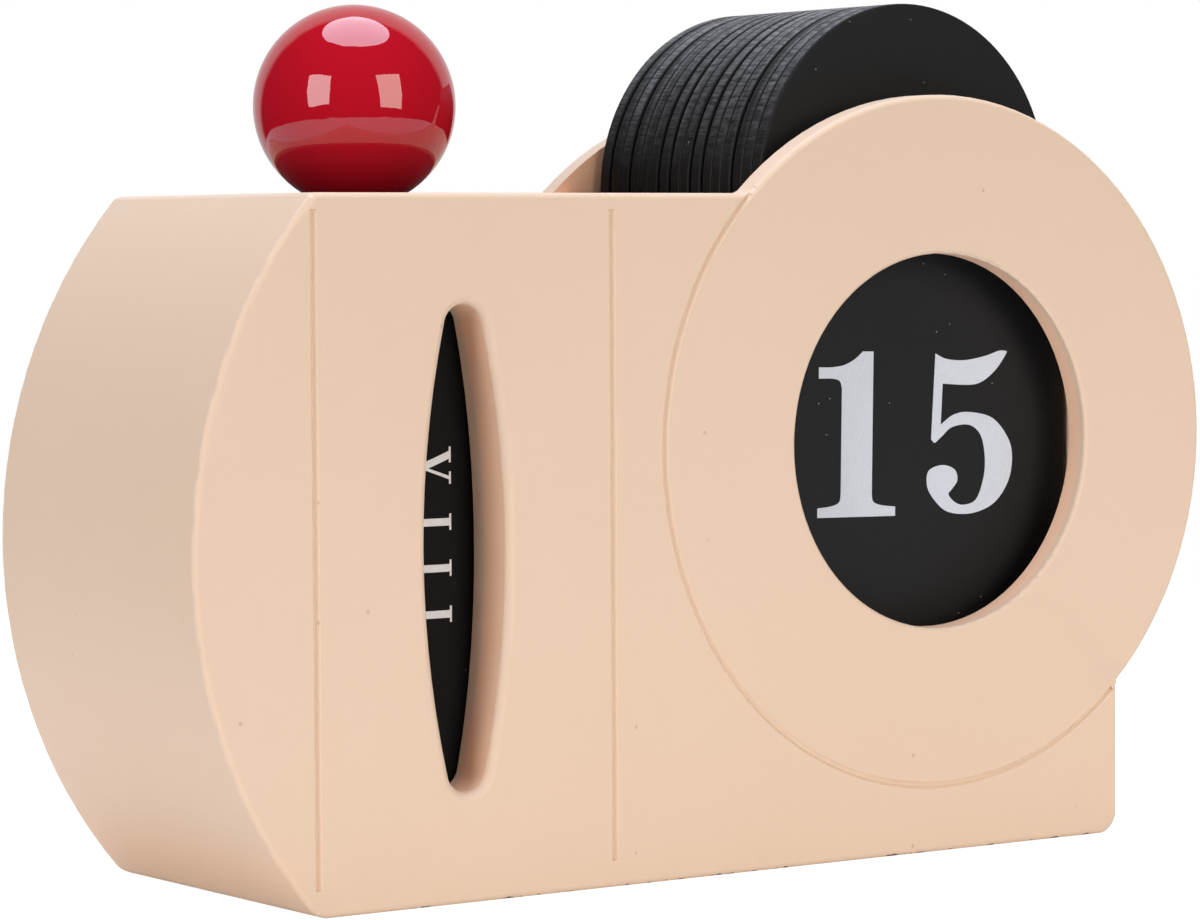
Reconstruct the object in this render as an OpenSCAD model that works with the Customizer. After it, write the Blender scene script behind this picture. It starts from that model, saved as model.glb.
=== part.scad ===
// Perpetual desk calendar in the shape of a compact camera: four glued layers of painted wood, a month
// roller turned by a ball knob, and a row of day cards standing in a trough behind a round window.
// Millimetres. Pieces are drawn on the bench: x from the first groove to the right, y from the front face
// to the back, z up from the table. bench() then moves the origin to the middle of the footprint.

/* [Body] */
// Height of the flat top above the table
body_h = 102; // [98:1:112]
// How far the rounded left end stands out past the first groove
bulge = 19.7; // [12:0.1:26]
// Width of the grip panel between the two upright grooves
grip_w = 51; // [49:0.5:60]
// Rounding of the outer edges of the front and back faces
edge_r = 1.1; // [0.6:0.1:2.5]
// Rounding of the upper left corner
top_corner_r = 3; // [2:0.5:6]
// Rounding of the lower left corner
foot_corner_r = 6; // [3:0.5:9]
// Rounding of the lower right corner
right_corner_r = 3.5; // [2.6:0.1:6]
// How far the foot reaches to the right of the ring's middle
foot_reach = 35.8; // [33:0.1:40]

/* [Layers] */
// Thickness of the front panel
front_t = 4; // [3:0.5:6]
// Thickness of the back panel
back_t = 4; // [3:0.5:6]

/* [Ring and window] */
// Radius of the ring
ring_r = 53.4; // [49:0.1:56]
// Height of the ring's lowest point above the table
ring_foot = 10.4; // [6:0.1:14]
// Plain strip between the second groove and the ring
ring_space = 9.4; // [4:0.1:16]
// Rounding of the inner corner where the ring meets the flat top
ring_corner_r = 3.5; // [2:0.5:6]
// Radius of the window
window_r = 29; // [22:0.5:30]
// Rounding of the window's front edge
window_edge_r = 0.8; // [0.4:0.1:1.5]

/* [Grooves] */
// Width of the V grooves at the face
groove_w = 1.2; // [0.6:0.1:2]
// Height of the upright grooves' lower ends above the table
groove_foot = 4; // [3:0.5:8]
// Distance of the upright grooves' upper ends below the top
groove_head = 2.4; // [2:0.1:6]
// Distance of the ring groove's end from the right edge, along the ring
groove_end = 1.5; // [1:0.1:4]

/* [Month slot] */
// Width of the oval slot
slot_w = 14; // [10:0.5:18]
// Height of the oval slot
slot_h = 70; // [54:1:72]
// Radius of the slot's upper and lower tips
slot_tip_r = 3.3; // [2:0.1:4.5]
// Rounding of the slot's front edge
slot_edge_r = 1.6; // [0.6:0.1:2.4]

/* [Month roller] */
// Wood left between the roller's bore and the front panel
front_skin = 4; // [3:0.1:6]
// Wood left between the roller's bore and the back panel
rear_skin = 1.6; // [1:0.1:4]
// Wood left under the roller's bore
end_wall = 10; // [8:0.5:12]
// Space between the sleeve and the bore
roller_gap = 0.6; // [0.3:0.1:1]
// Thickness of the printed sleeve
sleeve_t = 0.3; // [0.2:0.05:0.6]
// Diameter of the spindle
spindle_d = 6; // [4:0.5:8]
// Space round the spindle where it turns in the wood
spindle_gap = 0.1; // [0.05:0.05:0.2]
// Wood left under the spindle's foot
spindle_foot = 4; // [3:0.5:6]
// Diameter of the washer under the roller
washer_d = 16; // [12:0.5:24]
// Thickness of the washer
washer_t = 1; // [0.6:0.1:2]
// Space under the roller and under the spindle
run_gap = 0.2; // [0.1:0.05:0.3]
// How far the roller's top lies below the flat top, in its open bore
roller_sink = 1; // [0.6:0.1:2]

/* [Ball knob] */
// Diameter of the ball
knob_d = 30; // [24:0.5:34]
// Diameter of the flat on its underside
knob_flat_d = 10.3; // [9:0.1:14]
// Depth of the hole for the spindle in the ball
knob_hole = 14; // [10:0.5:18]

/* [Day cards] */
// Width of a card, where it fills the window
card_w = 65; // [62:0.5:67]
// Height of a card
card_h = 105.6; // [102:0.1:110]
// Thickness of a card
card_t = 2.3; // [2:0.1:3]
// Width of a card's round head
head_w = 57.7; // [50:0.1:59]
// Height of a card's shoulders above its foot
shoulder_h = 70; // [64:0.5:72]
// Rounding of a card's shoulders and lower corners
card_corner_r = 3; // [2:0.5:3.5]
// Gap between cards that stand close together
close_gap = 0.1; // [0.1:0.02:0.3]
// Gap after each card at which the row stands a little apart
loose_gap = 0.68; // [0.3:0.02:1]

/* [Card trough] */
// Height of the trough's floor above the table
trough_floor = 26; // [20:0.5:30]
// Room beside the cards, on each side
side_room = 0.75; // [0.5:0.05:1]
// Room in front of the first card
front_room = 4.95; // [0.5:0.05:6]
// Room behind the last card
back_room = 1.9; // [0.5:0.1:5]
// Rounding of the trough's lower corners
trough_corner_r = 2.5; // [1:0.5:3]

/* [Hidden] */
$fn = 96;
card_count = 16;
// The cards, counted from the window, after which the row stands a little apart
loose_after = [3, 6, 7, 9, 10, 13, 15];
// How far a cutting shape reaches past the face that it cuts
over = 1;
// How far out a corner's arc is set, as a share of its radius
bite = 0.02;
// How far a corner's arc is cut past the edges that it joins, in degrees
turn_past = 3;
// How far the rounding of the left end runs past its corners, in degrees
arc_past = 1;

// Depth, from the row of cards and the walls round it
function loose_before(i) = len([for (c = loose_after) if (c < i) c]);
function card_y(i) = front_t + front_room + (i - 1) * (card_t + close_gap)
    + loose_before(i) * (loose_gap - close_gap);
row_back = card_y(card_count) + card_t;
body_d = row_back + back_room + back_t;
mid_y = body_d / 2;

// Width, from left to right
ring_x = grip_w + ring_space + ring_r;
ring_z = ring_foot + ring_r;
trough_w = card_w + 2 * side_room;
front_w = ring_x + foot_reach;
mid_x = (ring_x + ring_r - bulge) / 2;

// The rounded left end is an arc through both ends of the first groove
arc_r = (bulge ^ 2 + (body_h / 2) ^ 2) / (2 * bulge);
arc_x = arc_r - bulge;
arc_c = [arc_x, body_h / 2];
ring_c = [ring_x, ring_z];

// Centres of the left end's corner roundings: each touches the arc and the top or the foot
function corner_x(r) = arc_x - sqrt((arc_r - r) ^ 2 - (body_h / 2 - r) ^ 2);
top_c = [corner_x(top_corner_r), body_h - top_corner_r];
foot_c = [corner_x(foot_corner_r), foot_corner_r];
right_c = [front_w - right_corner_r, right_corner_r];
top_angle = atan2(top_c.y - arc_c.y, top_c.x - arc_c.x);
foot_angle = 360 + atan2(foot_c.y - arc_c.y, foot_c.x - arc_c.x);

// Centre of the rounding between the ring and the flat top, which touches both from outside
ring_corner_z = body_h + ring_corner_r;
ring_corner_x = ring_x - sqrt((ring_r + ring_corner_r) ^ 2 - (ring_corner_z - ring_z) ^ 2);
ring_corner_c = [ring_corner_x, ring_corner_z];
ring_corner_angle = atan2(ring_corner_z - ring_z, ring_corner_x - ring_x);

// Where the ring's groove meets the flat top and the right edge
ring_top_angle = 180 - asin((body_h - ring_z) / ring_r);
ring_right_angle = 360 - acos((front_w - ring_x) / ring_r);

// The slot is an oval of four arcs: long sides and small round tips
axis_x = grip_w / 2;
slot_c = [axis_x, body_h / 2];
tip_rise = slot_h / 2 - slot_tip_r;
side_r = (tip_rise ^ 2 + (slot_w / 2) ^ 2 - slot_tip_r ^ 2) / (slot_w - 2 * slot_tip_r);
side_back = side_r - slot_w / 2;
side_angle = atan2(tip_rise, side_back);

// Roller and knob, from the bore inwards and upwards
bore_r = (body_d - back_t - rear_skin - front_t - front_skin) / 2;
axis_y = front_t + front_skin + bore_r;
sleeve_r = bore_r - roller_gap;
roller_r = sleeve_r - sleeve_t;
roller_z = end_wall + washer_t + run_gap;
roller_h = body_h - roller_sink - roller_z;
spindle_r = spindle_d / 2;
spindle_bore_r = spindle_r + spindle_gap;
knob_r = knob_d / 2;
knob_seat_z = body_h - roller_sink;
knob_z = knob_seat_z + sqrt(knob_r ^ 2 - (knob_flat_d / 2) ^ 2);

// Colours of the finishes
paint = [0.90, 0.77, 0.66];
lacquer = [0.72, 0.05, 0.10];
black = [0.10, 0.10, 0.10];

function card_name(i) = str("day_card_", i < 10 ? "0" : "", i);

// Moves a piece from the bench to the part's own frame
module bench() {
    translate([-mid_x, -mid_y, 0]) children();
}

// A layer of the given thickness, cut to an outline drawn in x and z
module layer(y, t) {
    translate([0, y + t, 0]) rotate([90, 0, 0]) linear_extrude(t) children();
}

// What lies outside a corner rounded about c, between two directions. The arc is set a little way out, so
// that it crosses both edges of the corner at a small angle.
module corner_waste(c, r, from, to, reach) {
    middle = (from + to) / 2;
    translate(c + bite * r * [cos(middle), sin(middle)]) difference() {
        polygon([[0, 0], for (a = [from - turn_past, middle, to + turn_past]) reach * [cos(a), sin(a)]]);
        rotate(middle) circle(r);
    }
}

// Side view of the block: straight top, foot and right edge, and the arc of the left end
module block_outline() {
    difference() {
        union() {
            intersection() {
                translate(arc_c) circle(arc_r, $fn = 180);
                translate([-bulge, 0]) square([bulge + axis_x, body_h]);
            }
            square([front_w, body_h]);
        }
        corner_waste(top_c, top_corner_r, 90, top_angle, 2 * top_corner_r);
        corner_waste(foot_c, foot_corner_r, foot_angle, 270, 2 * foot_corner_r);
        corner_waste(right_c, right_corner_r, 270, 360, 2 * right_corner_r);
    }
}

// What fills the inner corner between the ring and the flat top. Its arc is set a little way out too.
module ring_corner() {
    middle = (270 + 180 + ring_corner_angle) / 2;
    reach = 2 * ring_corner_r;
    translate(ring_corner_c + bite * ring_corner_r * [cos(middle), sin(middle)]) difference() {
        polygon([[0, 0], for (a = [270, middle, 180 + ring_corner_angle]) reach * [cos(a), sin(a)]]);
        rotate(middle) circle(ring_corner_r);
    }
}

// The block and the ring together, as the two panels are cut
module panel_outline() {
    block_outline();
    ring_corner();
    translate(ring_c) circle(ring_r, $fn = 180);
}

// The panels' outline without what stands above the flat top, as the two cores are cut
module core_outline() {
    block_outline();
    intersection() {
        translate(ring_c) circle(ring_r, $fn = 180);
        translate([ring_x, 0]) square([ring_r + over, body_h]);
    }
}

// Side view of the trough, open at the top
module trough_outline() {
    left = ring_x - trough_w / 2;
    right = ring_x + trough_w / 2;
    corner_z = trough_floor + trough_corner_r;
    difference() {
        translate([left, trough_floor]) square([trough_w, body_h - trough_floor + over]);
        corner_waste([left + trough_corner_r, corner_z], trough_corner_r, 180, 270, 2 * trough_corner_r);
        corner_waste([right - trough_corner_r, corner_z], trough_corner_r, 270, 360, 2 * trough_corner_r);
    }
}

// Front view of the oval slot: two long sides and two round tips
module slot_outline() {
    translate(slot_c) difference() {
        intersection_for (s = [0, 180]) rotate(s) translate([side_back, 0]) circle(side_r, $fn = 360);
        for (s = [0, 180])
            rotate(s) corner_waste([0, tip_rise], slot_tip_r, side_angle, 180 - side_angle, slot_h / 2);
    }
}

// What a rounding of radius e takes off a square edge along both axes. The arc is set a little way out here
// too, so that it crosses both faces.
module rounding_waste(e) {
    difference() {
        translate([-over, -over]) square(e + over);
        translate((1 - bite) * [e, e]) rotate(45) circle(e);
    }
}

// Rounds the front edge along a straight stretch, from a point in x and z, in a direction; the stretch
// has the wood on its left
module round_line(p, length, direction, e) {
    translate([p.x, 0, p.y]) rotate([0, -direction, 0]) rotate([90, 0, 90])
        linear_extrude(length) rounding_waste(e);
}

// Rounds the front edge along an arc of the outline; a hole's edge has the wood outside the arc
module round_arc(c, r, from, to, e, hole = false) {
    translate([c.x, 0, c.y]) rotate([90, 0, 0]) rotate([0, 0, from])
        rotate_extrude(angle = to - from, $fn = 180)
            translate([r, 0]) mirror([hole ? 0 : 1, 0]) mirror([0, 1]) rounding_waste(e);
}

// Rounds the front edge along a corner's arc, where corner_waste() cuts it
module round_corner(c, r, from, to, hole = false) {
    middle = (from + to) / 2;
    round_arc(c + bite * r * [cos(middle), sin(middle)], r, from - turn_past, to + turn_past, edge_r, hole);
}

// Everything that the rounding of a panel's outer edge takes off its front face. Each stretch runs on past
// its ends, outside the outline, so that it crosses the next.
module outer_edge_waste() {
    difference() {
        union() {
            round_line(foot_c - [over, foot_corner_r], right_c.x - foot_c.x + 2 * over, 0, edge_r);
            round_line(right_c + [right_corner_r, -over], ring_z - right_corner_r, 90, edge_r);
            round_line([ring_corner_x, body_h], ring_corner_x - top_c.x + over, 180, edge_r);
        }
        translate([ring_x, -2 * over, ring_z]) rotate([-90, 0, 0])
            cylinder(r = ring_r, h = edge_r + 4 * over, $fn = 180);
    }
    round_corner(right_c, right_corner_r, 270, 360);
    round_corner(foot_c, foot_corner_r, foot_angle, 270);
    round_corner(top_c, top_corner_r, 90, top_angle);
    round_corner(ring_corner_c, ring_corner_r, 270, 180 + ring_corner_angle, true);
    round_arc(arc_c, arc_r, top_angle - arc_past, foot_angle + arc_past, edge_r);
    round_arc(ring_c, ring_r, ring_right_angle - 360, ring_corner_angle, edge_r);
}

// Everything that the rounding of the slot's front edge takes off: along the long sides, then the tips
module slot_edge_waste() {
    for (s = [0, 180]) {
        side_c = slot_c - side_back * [cos(s), sin(s)];
        round_arc(side_c, side_r, s - side_angle, s + side_angle, slot_edge_r, true);
    }
    tip_turn = 90 - side_angle + turn_past;
    for (s = [90, 270]) {
        tip_c = slot_c + (tip_rise + bite * slot_tip_r) * [cos(s), sin(s)];
        round_arc(tip_c, slot_tip_r, s - tip_turn, s + tip_turn, slot_edge_r, true);
    }
}

// Profile of a V groove across the face, half as deep as it is wide
module groove_profile() {
    half = groove_w / 2;
    polygon([[-half - over, -over], [half + over, -over], [0, half]]);
}

// An upright V groove, stopped short of the foot and the top
module upright_groove(x) {
    translate([x, 0, groove_foot]) linear_extrude(body_h - groove_head - groove_foot) groove_profile();
}

// The V groove along the ring, where it lies on the block
module ring_groove() {
    to = ring_right_angle - groove_end / ring_r * 180 / PI;
    translate([ring_c.x, 0, ring_c.y]) rotate([90, 0, 0]) rotate([0, 0, ring_top_angle])
        rotate_extrude(angle = to - ring_top_angle, $fn = 180)
            translate([ring_r, 0]) mirror([0, 1]) groove_profile();
}

// The slot through the front panel and on into the roller's bore
module slot_cut() {
    layer(-over, axis_y - bore_r / 2 + over) slot_outline();
}

// The roller's bore, open at the top, and the hole under it in which the spindle's foot turns
module roller_cut() {
    translate([axis_x, axis_y, 0]) {
        translate([0, 0, end_wall]) cylinder(r = bore_r, h = body_h - end_wall + over);
        translate([0, 0, spindle_foot]) cylinder(r = spindle_bore_r, h = end_wall - spindle_foot + over);
    }
}

// The front layer, with the window, the slot and the grooves
module front_panel() {
    color(paint) bench() difference() {
        layer(0, front_t) panel_outline();
        outer_edge_waste();
        translate([ring_x, -over, ring_z]) rotate([-90, 0, 0])
            cylinder(r = window_r, h = front_t + 2 * over, $fn = 180);
        round_arc(ring_c, window_r, 0, 360, window_edge_r, true);
        slot_cut();
        slot_edge_waste();
        upright_groove(0);
        upright_groove(grip_w);
        ring_groove();
    }
}

// The front half of the block between the panels, with its half of the roller's bore
module front_core() {
    color(paint) bench() difference() {
        layer(front_t, axis_y - front_t) core_outline();
        layer(front_t - over, body_d) trough_outline();
        slot_cut();
        roller_cut();
    }
}

// The rear half of the block
module rear_core() {
    color(paint) bench() difference() {
        layer(axis_y, body_d - back_t - axis_y) core_outline();
        layer(axis_y - over, body_d) trough_outline();
        roller_cut();
    }
}

// The back layer, plain, with the same ring
module back_panel() {
    color(paint) bench() difference() {
        layer(body_d - back_t, back_t) panel_outline();
        translate([0, body_d, 0]) mirror([0, 1, 0]) outer_edge_waste();
    }
}

// The turned drum inside the sleeve, painted black, with its hole for the spindle
module month_roller() {
    color(black) bench() translate([axis_x, axis_y, roller_z]) difference() {
        cylinder(r = roller_r, h = roller_h);
        translate([0, 0, -over]) cylinder(r = spindle_r, h = roller_h + 2 * over);
    }
}

// The black sleeve round the drum, on which the months are printed
module month_sleeve() {
    color(black) bench() translate([axis_x, axis_y, roller_z]) difference() {
        cylinder(r = sleeve_r, h = roller_h);
        translate([0, 0, -over]) cylinder(r = roller_r, h = roller_h + 2 * over);
    }
}

// The pin through the drum, from its hole in the block's foot to the knob
module spindle() {
    foot = spindle_foot + run_gap;
    color("silver") bench() translate([axis_x, axis_y, foot])
        cylinder(r = spindle_r, h = knob_seat_z + knob_hole - foot);
}

// The disc on the floor of the bore, which carries the drum
module thrust_washer() {
    color("ivory") bench() translate([axis_x, axis_y, end_wall]) difference() {
        cylinder(d = washer_d, h = washer_t);
        translate([0, 0, -over]) cylinder(r = spindle_bore_r, h = washer_t + 2 * over);
    }
}

// The ball, flat underneath, on the drum's top and the spindle's head
module knob() {
    color(lacquer) bench() translate([axis_x, axis_y, 0]) difference() {
        translate([0, 0, knob_z]) sphere(knob_r);
        translate([0, 0, knob_seat_z - knob_r]) cylinder(r = knob_r, h = knob_r);
        translate([0, 0, knob_seat_z - over]) cylinder(r = spindle_r, h = knob_hole + over);
    }
}

// Front view of a card: a plate that fills the window, and a narrower round head above its shoulders
module card_outline() {
    head_r = head_w / 2;
    head_rise = card_h - head_r;
    corner_x = card_w / 2 - card_corner_r;
    translate([ring_x, trough_floor]) {
        translate([0, head_rise]) circle(head_r, $fn = 180);
        translate([-head_r, shoulder_h / 2]) square([head_w, head_rise - shoulder_h / 2]);
        difference() {
            translate([-card_w / 2, 0]) square([card_w, shoulder_h]);
            for (s = [0, 1], v = [0, 1]) {
                corner_z = v == 0 ? card_corner_r : shoulder_h - card_corner_r;
                corner_c = [(2 * s - 1) * corner_x, corner_z];
                from = v == 0 ? 180 + 90 * s : 90 - 90 * s;
                corner_waste(corner_c, card_corner_r, from, from + 90, 2 * card_corner_r);
            }
        }
    }
}

// A card at its place in the row, counted from the window
module day_card(i) {
    color(black) bench() layer(card_y(i), card_t) card_outline();
}

front_panel();
front_core();
rear_core();
back_panel();
month_roller();
month_sleeve();
spindle();
thrust_washer();
knob();
for (i = [1 : card_count])
    day_card(i);
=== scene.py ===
# %% [markdown]
# # A painted wooden desk calendar
# The object is a block of peach-painted wood in the shape of a compact camera. A ring stands up from its
# front and back layers, a row of black day cards stands behind the ring's round window, and a red ball
# turns a black month roller behind an oval slot.
#
# The frame that is loaded first holds every piece at its real size. This lesson dresses those pieces: it
# smooths the solids, shapes the ball, breaks the cards' edges, prints the numerals and mixes the finishes.

# %% Load the frame
import math

import bpy
from mathutils import Matrix, Vector


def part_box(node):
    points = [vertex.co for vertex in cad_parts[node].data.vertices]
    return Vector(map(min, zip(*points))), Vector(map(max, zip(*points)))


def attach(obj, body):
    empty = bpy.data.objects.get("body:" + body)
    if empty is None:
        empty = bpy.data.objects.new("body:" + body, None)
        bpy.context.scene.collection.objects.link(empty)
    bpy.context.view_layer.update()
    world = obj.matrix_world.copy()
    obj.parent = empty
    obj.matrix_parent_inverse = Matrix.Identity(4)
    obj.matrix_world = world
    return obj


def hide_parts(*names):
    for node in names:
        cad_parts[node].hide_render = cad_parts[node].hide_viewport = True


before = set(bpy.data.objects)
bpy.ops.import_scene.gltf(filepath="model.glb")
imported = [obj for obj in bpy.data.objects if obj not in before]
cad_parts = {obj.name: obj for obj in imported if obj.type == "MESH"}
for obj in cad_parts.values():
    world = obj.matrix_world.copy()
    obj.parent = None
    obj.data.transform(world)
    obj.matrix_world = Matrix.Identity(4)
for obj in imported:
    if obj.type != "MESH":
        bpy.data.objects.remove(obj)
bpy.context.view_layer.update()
MM = 0.001
scene = bpy.context.scene

# %% [markdown]
# ## Where things are
# Places could be typed in as numbers, but they would be wrong as soon as a solid changed. Here each one is
# worked out from the frame. The ring is the highest and rightmost part of the front panel, and the cards
# stand on its middle line, so the middle of a card and the two extremes of the panel give the ring's centre
# and radius. The sleeve's box gives the roller's axis. Below the ring, the panel's rightmost point is the
# right side of the foot.

# %% Places
panel_lo, panel_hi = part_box("front_panel")
back_lo, back_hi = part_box("back_panel")
card_lo, card_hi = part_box("day_card_01")
sleeve_lo, sleeve_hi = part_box("month_sleeve")
knob_lo, knob_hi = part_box("knob")

ring_x = (card_lo.x + card_hi.x) / 2
ring_r = panel_hi.x - ring_x
ring_z = panel_hi.z - ring_r
panel_points = [vertex.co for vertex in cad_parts["front_panel"].data.vertices]
foot_right = max(point.x for point in panel_points if point.z < ring_z - ring_r)
block_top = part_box("front_core")[1].z
roller_x = (sleeve_lo.x + sleeve_hi.x) / 2
roller_y = (sleeve_lo.y + sleeve_hi.y) / 2
sleeve_r = (sleeve_hi.x - sleeve_lo.x) / 2
cards = sorted(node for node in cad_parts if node.startswith("day_card_"))
print("ring centre in mm", round(ring_x / MM, 2), round(ring_z / MM, 2), "radius", round(ring_r / MM, 2))

# %% [markdown]
# ## The camera
# The block is seen from its left, a little above the middle and slightly downwards, through a long lens that
# keeps its edges nearly parallel. Three angles in a row could turn the camera, but their order is easy to
# get wrong. Here yaw, pitch and roll make the camera's own axes, and a matrix with those axes as columns
# turns it. The same axes place the lights in the next step. The Standard view shows each colour as it is
# written.

# %% Camera
CAMERA_PLACE = Vector((-390.05, -546.66, 95.0)) * MM
CAMERA_YAW = math.radians(35.16)
CAMERA_PITCH = math.radians(2.888)
CAMERA_ROLL = math.radians(-0.331)
CAMERA_LENS = 130.32
SENSOR_WIDTH = 36

forward = Vector((
    math.sin(CAMERA_YAW) * math.cos(CAMERA_PITCH),
    math.cos(CAMERA_YAW) * math.cos(CAMERA_PITCH),
    -math.sin(CAMERA_PITCH),
))
level_right = Vector((math.cos(CAMERA_YAW), -math.sin(CAMERA_YAW), 0))
level_up = level_right.cross(forward)
right = math.cos(CAMERA_ROLL) * level_right + math.sin(CAMERA_ROLL) * level_up
up = math.cos(CAMERA_ROLL) * level_up - math.sin(CAMERA_ROLL) * level_right
camera_axes = Matrix((right, up, -forward)).transposed()

bpy.ops.object.camera_add(location=CAMERA_PLACE)
camera = bpy.context.object
camera.name = "photo_camera"
camera.data.lens = CAMERA_LENS
camera.data.sensor_width = SENSOR_WIDTH
camera.data.sensor_fit = "HORIZONTAL"
camera.matrix_world = Matrix.Translation(CAMERA_PLACE) @ camera_axes.to_4x4()
scene.camera = camera
scene.view_settings.view_transform = "Standard"
print("camera looks along", [round(x, 3) for x in forward])

# %% [markdown]
# ## The softboxes
# Soft light comes from three large boxes: one overhead, one to the left of the camera and one to its right,
# which is a little stronger than the left one and throws the window's soft shadow. Each is an area light. It
# could be placed by coordinates, but on a glossy ball what matters is where its reflection falls. So a box
# is placed by its direction in the camera's axes: to the right, up and towards the camera. Two boxes are
# rolled, because their highlights on the ball lean a little.

# %% Softboxes
AIM = Vector((0, 0, 60)) * MM
WARM_WHITE = (1.0, 0.955, 0.885)
EVEN_WHITE = (0.975, 0.975, 0.99)
COOL_WHITE = (0.76, 0.84, 1.0)


def softbox(name, toward, distance, size, power, colour, shape="RECTANGLE", roll=0):
    """An area light that faces the object, in a direction given in the camera's axes."""
    side, rise, near = toward
    away = (side * right + rise * up - near * forward).normalized()
    bpy.ops.object.light_add(type="AREA", location=AIM + distance * away)
    lamp = bpy.context.object
    lamp.name = name
    lamp.data.shape = shape
    lamp.data.size = size[0]
    lamp.data.size_y = size[1]
    lamp.data.energy = power
    lamp.data.color = colour
    across = (right - right.dot(away) * away).normalized()
    facing = Matrix((across, away.cross(across), away)).transposed()
    lamp.rotation_euler = (facing @ Matrix.Rotation(math.radians(roll), 3, "Z")).to_euler()
    return lamp


boxes = [
    softbox("right_box", toward=(0.675, 0.240, 0.694), distance=2.4, size=(1.16, 1.56),
            power=28.0, colour=WARM_WHITE, roll=13),
    softbox("left_box", toward=(-0.600, 0.245, 0.760), distance=2.4, size=(1.08, 1.34),
            power=26.6, colour=EVEN_WHITE, roll=-7),
    softbox("top_box", toward=(0.0, 1.0, -0.016), distance=2.0, size=(1.84, 1.87),
            power=50.0, colour=COOL_WHITE, shape="ELLIPSE"),
]
print("softboxes in watts:", {box.name: round(box.data.energy, 1) for box in boxes})

# %% [markdown]
# ## The room
# The room is white behind the object and dark behind the camera, so the ball has a pale rim and clear
# highlights on a deep red. A picture of a room could be wrapped round the scene, but two brightnesses with a
# soft edge between them are enough: the direction of a ray, compared with the view, tells which one it
# meets. The camera itself sees plain white, which adds no light to the object. A shader is a tree of nodes,
# and the helpers below add one node at a time, with its settings, values and links.

# %% Node helpers


def feed(tree, socket, value):
    """Links an output to an input socket, or sets the input's own value."""
    if isinstance(value, bpy.types.NodeSocket):
        tree.links.new(value, socket)
    else:
        socket.default_value = value


def input_of(node, key):
    """An input by its name, with _ for each space, or by its number, as i0, i1 and so on."""
    if key[0] == "i" and key[1:].isdigit():
        return node.inputs[int(key[1:])]
    return node.inputs[key.replace("_", " ")]


def add_node(tree, kind, settings=None, **inputs):
    """A shader node with its settings, and values or links for its inputs."""
    node = tree.nodes.new("ShaderNode" + kind)
    for key, value in (settings or {}).items():
        setattr(node, key, value)
    for key, value in inputs.items():
        feed(tree, input_of(node, key), value)
    return node


print("node helpers: feed, input_of, add_node")

# %% Room
WHITE = (1, 1, 1, 1)
ROOM_BEHIND = 0.76
ROOM_FRONT = 0.02
ROOM_LIFT = 0.25
EDGE_DARK = 0.58
EDGE_WHITE = 0.68

world = bpy.data.worlds.new("studio")
scene.world = world
world.use_nodes = True
sky = world.node_tree
sky.nodes.clear()
ray = add_node(sky, "TexCoord").outputs["Generated"]
ahead = Vector((forward.x, forward.y, ROOM_LIFT)).normalized()
alike = add_node(sky, "VectorMath", {"operation": "DOT_PRODUCT"}, i0=ray, i1=ahead)
glow = add_node(
    sky, "MapRange", Value=alike.outputs["Value"],
    From_Min=EDGE_DARK, From_Max=EDGE_WHITE, To_Min=ROOM_FRONT, To_Max=ROOM_BEHIND,
)
room = add_node(sky, "Background", Color=WHITE, Strength=glow.outputs["Result"])
backdrop = add_node(sky, "Background", Color=WHITE, Strength=1.0)
camera_ray = add_node(sky, "LightPath").outputs["Is Camera Ray"]
seen = add_node(
    sky, "MixShader", Fac=camera_ray, i1=room.outputs["Background"], i2=backdrop.outputs["Background"],
)
add_node(sky, "OutputWorld", Surface=seen.outputs["Shader"])
print("room:", ROOM_BEHIND, "behind the object and", ROOM_FRONT, "in front of it")

# %% [markdown]
# ## The table
# The object stands on a round pale table. An endless floor would be simpler, but the table's edge shows
# across the low part of the ball. The table is a filled circle with a material of its own. What the camera
# sees of it is mostly its own white and the rest is lit, so that it stays white and still keeps a soft
# shadow under the block.

# %% Table
TABLE_RADIUS = 0.5
TABLE_SIDES = 128
TABLE_GREY = (0.80, 0.80, 0.80, 1)
TABLE_GLOW = 1.26
OWN_SHARE = 0.18
CAMERA_SHARE = 0.57

bpy.ops.object.select_all(action="DESELECT")
bpy.ops.mesh.primitive_circle_add(vertices=TABLE_SIDES, radius=TABLE_RADIUS, fill_type="NGON")
floor = bpy.context.object
floor.name = "floor"
bpy.ops.object.transform_apply(location=True, rotation=True, scale=True)

pale_floor = bpy.data.materials.new("pale_floor")
pale_floor.use_nodes = True
tree = pale_floor.node_tree
tree.nodes.clear()
lit = add_node(tree, "BsdfDiffuse", Color=TABLE_GREY)
own = add_node(tree, "Emission", Color=WHITE, Strength=TABLE_GLOW)
camera_ray = add_node(tree, "LightPath").outputs["Is Camera Ray"]
share = add_node(tree, "Math", {"operation": "MULTIPLY_ADD"}, i0=camera_ray, i1=CAMERA_SHARE, i2=OWN_SHARE)
mixed = add_node(
    tree, "MixShader", Fac=share.outputs["Value"], i1=lit.outputs["BSDF"], i2=own.outputs["Emission"],
)
add_node(tree, "OutputMaterial", Surface=mixed.outputs["Shader"])
floor.data.materials.append(pale_floor)
print("table:", 2 * TABLE_RADIUS, "m across")

# %% [markdown]
# ## Two shared effects
# Several finishes need the same two effects: small specks, such as dust on the cards and pits in the paint,
# and a soft mottle. They could be wired anew in each material. A node group with named inputs and one output
# is built once instead, and each finish uses it with its own values. Specks come from a Voronoi pattern, with
# a dot in the middle of some of its cells, and the mottle is plain noise.

# %% Group helpers


def maths(tree, operation, a, b=0.0):
    """The result of one sum on two values or links."""
    return add_node(tree, "Math", {"operation": operation}, i0=a, i1=b).outputs["Value"]


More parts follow.
